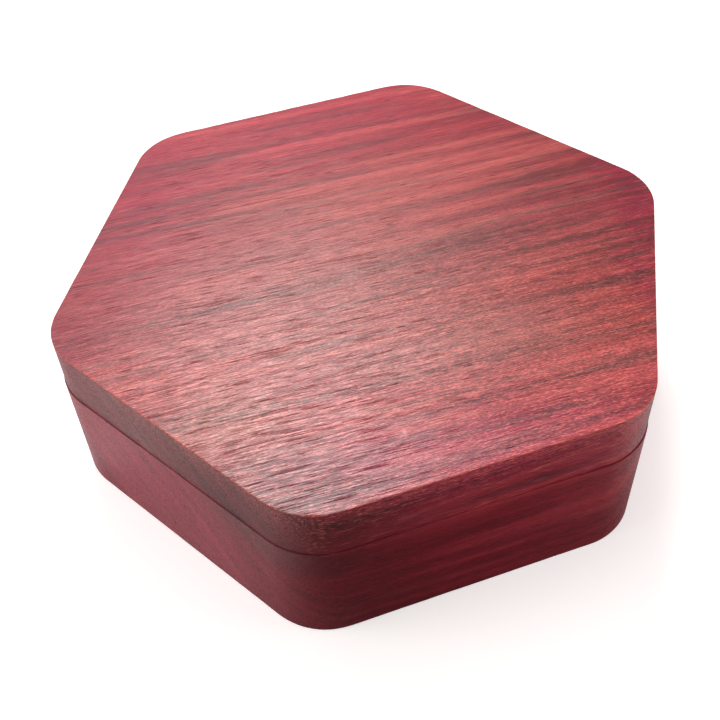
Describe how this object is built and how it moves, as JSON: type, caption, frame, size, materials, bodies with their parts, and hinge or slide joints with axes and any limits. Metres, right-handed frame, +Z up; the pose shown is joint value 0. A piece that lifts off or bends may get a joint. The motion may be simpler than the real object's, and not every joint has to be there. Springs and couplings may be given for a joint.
{
  "type": "dice box",
  "caption": "Flat hexagonal wooden box with rounded corners, a hinged lid and felt-floored hexagonal pockets that each hold a die.",
  "frame": {"origin": "centre of the base's underside", "axes": "+X along the front and the grain, -Y is the front, +Y is the hinge side, +Z is up"},
  "size_m": [0.106, 0.0966, 0.0305],
  "materials": {
    "base_wood": "rubbed satin, dark maroon",
    "lid_wood": "rubbed satin, salmon purple",
    "felt": "matte felt",
    "lining": "matte felt",
    "brass": "polished",
    "magnet": "polished nickel"
  },
  "bodies": {
    "base": {"base_body": "base_wood", "pocket_felt_0": "felt", "pocket_felt_1": "felt", "pocket_felt_2": "felt", "pocket_felt_3": "felt", "pocket_felt_4": "felt", "pocket_felt_5": "felt", "pocket_felt_6": "felt", "base_magnet_left": "magnet", "base_magnet_right": "magnet", "hinge_left_base_leaf": "brass", "hinge_left_pin": "brass", "hinge_left_base_screws": "brass", "hinge_right_base_leaf": "brass", "hinge_right_pin": "brass", "hinge_right_base_screws": "brass"},
    "lid": {"lid_body": "lid_wood", "lid_lining": "lining", "lid_magnet_left": "magnet", "lid_magnet_right": "magnet", "hinge_left_lid_leaf": "brass", "hinge_left_lid_screws": "brass", "hinge_right_lid_leaf": "brass", "hinge_right_lid_screws": "brass"}
  },
  "joints": [
    {"name": "lid_hinge", "type": "hinge", "parent": "base", "child": "lid", "pos_m": [0, 0.0475, 0.021], "axis": [-1, 0, 0], "range_deg": [0, 180]}
  ]
}
